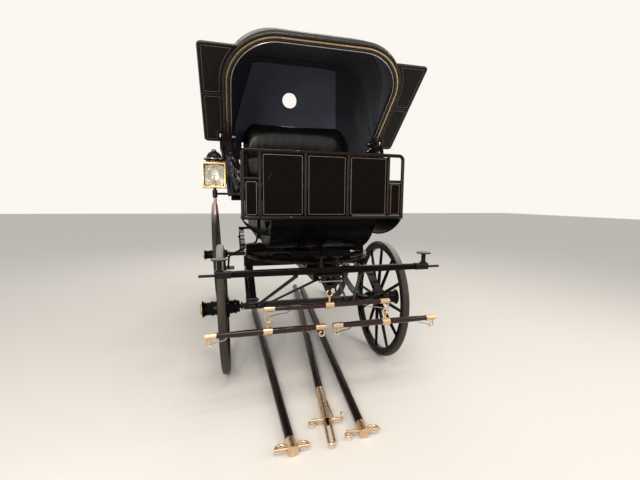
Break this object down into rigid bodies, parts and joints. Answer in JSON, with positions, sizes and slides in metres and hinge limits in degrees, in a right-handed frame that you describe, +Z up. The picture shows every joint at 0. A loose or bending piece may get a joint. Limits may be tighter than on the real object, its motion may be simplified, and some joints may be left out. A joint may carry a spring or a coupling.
{
  "type": "horse drawn hooded phaeton carriage",
  "caption": "Hooded driving phaeton carriage on elliptic springs, with steering fore-carriage, spoked wheels, hanging lead bars, side lamp, dashboard and loose poles laid beneath.",
  "frame": {"origin": "on the ground at the middle of the whole outline, poles included", "axes": "+Z up, -Y forwards, +X towards the carriage's left side"},
  "size_m": [1.7858, 3.3678, 2.5156],
  "materials": {
    "body_varnish": "black varnished panels",
    "gear_varnish": "dark varnished wood",
    "gear_iron": "black enamelled iron",
    "bar_varnish": "dark maroon varnish",
    "bright_steel": "worn bright steel",
    "hub_brass": "dull brass",
    "tyre_rubber": "worn grey rubber",
    "hood_hide": "black hood leather",
    "dash_hide": "black patent leather",
    "lining_cloth": "dark blue broadcloth",
    "seat_hide": "black upholstery leather",
    "lamp_black": "black japanned case",
    "lamp_glass": "bevelled plate glass"
  },
  "bodies": {
    "carriage": {"body_tub": "body_varnish", "boot": "body_varnish", "seat_shell": "body_varnish", "seat_cushion": "seat_hide", "back_roll": "seat_hide", "dash_frame": "gear_iron", "dash_leather": "dash_hide", "whip_socket": "dash_hide", "under_wings": "body_varnish", "hood_leather": "hood_hide", "hood_lining": "lining_cloth", "front_bow": "hood_hide", "bow_bead": "hub_brass", "hood_bows": "lining_cloth", "wing_boards": "hood_hide", "hood_irons": "gear_iron", "lamp_case": "lamp_black", "lamp_glass": "lamp_glass", "lamp_bracket": "gear_iron", "rear_axle": "gear_iron", "rear_springs": "gear_iron", "rear_bed": "gear_varnish", "rumble_seat": "body_varnish", "rumble_cushion": "seat_hide", "side_steps": "body_varnish", "top_bed": "gear_varnish", "pole_near": "bar_varnish", "pole_near_head": "bright_steel", "pole_middle": "bar_varnish", "pole_middle_head": "bright_steel", "pole_off": "bar_varnish", "pole_off_head": "bright_steel"},
    "fore_carriage": {"front_axle": "gear_iron", "front_springs": "gear_iron", "lower_bed": "gear_varnish", "turntable_plate": "gear_iron", "futchells": "gear_varnish", "splinter_bar": "gear_varnish", "roller_bolts": "gear_iron", "pole_socket": "gear_iron", "stays": "gear_iron"},
    "front_wheel_right": {"wheel_front_right": "gear_varnish", "tyre_front_right": "tyre_rubber", "hub_cap_front_right": "hub_brass"},
    "front_wheel_left": {"wheel_front_left": "gear_varnish", "tyre_front_left": "tyre_rubber", "hub_cap_front_left": "hub_brass"},
    "rear_wheel_right": {"wheel_rear_right": "gear_varnish", "tyre_rear_right": "tyre_rubber", "hub_cap_rear_right": "hub_brass"},
    "rear_wheel_left": {"wheel_rear_left": "gear_varnish", "tyre_rear_left": "tyre_rubber", "hub_cap_rear_left": "hub_brass"},
    "main_bar": {"main_bar_wood": "bar_varnish", "main_bar_irons": "bright_steel"},
    "side_bar_right": {"side_bar_wood_right": "bar_varnish", "side_bar_irons_right": "bright_steel"},
    "side_bar_left": {"side_bar_wood_left": "bar_varnish", "side_bar_irons_left": "bright_steel"}
  },
  "joints": [
    {"name": "steering", "type": "hinge", "parent": "carriage", "child": "fore_carriage", "pos_m": [0, -0.631, 0.86666], "axis": [0, 0, 1], "range_deg": [-35, 35]},
    {"name": "front_wheel_right_spin", "type": "hinge", "parent": "fore_carriage", "child": "front_wheel_right", "pos_m": [-0.632, -0.631, 0.47475], "axis": [0.9994, 0, 0.0349], "continuous": true},
    {"name": "front_wheel_left_spin", "type": "hinge", "parent": "fore_carriage", "child": "front_wheel_left", "pos_m": [0.632, -0.631, 0.47475], "axis": [0.9994, 0, -0.0349], "continuous": true},
    {"name": "rear_wheel_right_spin", "type": "hinge", "parent": "carriage", "child": "rear_wheel_right", "pos_m": [-0.724, 1.059, 0.62466], "axis": [0.9994, 0, 0.0349], "continuous": true},
    {"name": "rear_wheel_left_spin", "type": "hinge", "parent": "carriage", "child": "rear_wheel_left", "pos_m": [0.724, 1.059, 0.62466], "axis": [0.9994, 0, -0.0349], "continuous": true},
    {"name": "main_bar_swing", "type": "hinge", "parent": "fore_carriage", "child": "main_bar", "pos_m": [0, -1.303, 0.74266], "axis": [1, 0, 0], "range_deg": [-40, 25]},
    {"name": "side_bar_right_swing", "type": "hinge", "parent": "main_bar", "child": "side_bar_right", "pos_m": [-0.373, -1.303, 0.57266], "axis": [1, 0, 0], "range_deg": [-40, 25]},
    {"name": "side_bar_left_swing", "type": "hinge", "parent": "main_bar", "child": "side_bar_left", "pos_m": [0.373, -1.303, 0.57266], "axis": [1, 0, 0], "range_deg": [-40, 25]}
  ]
}
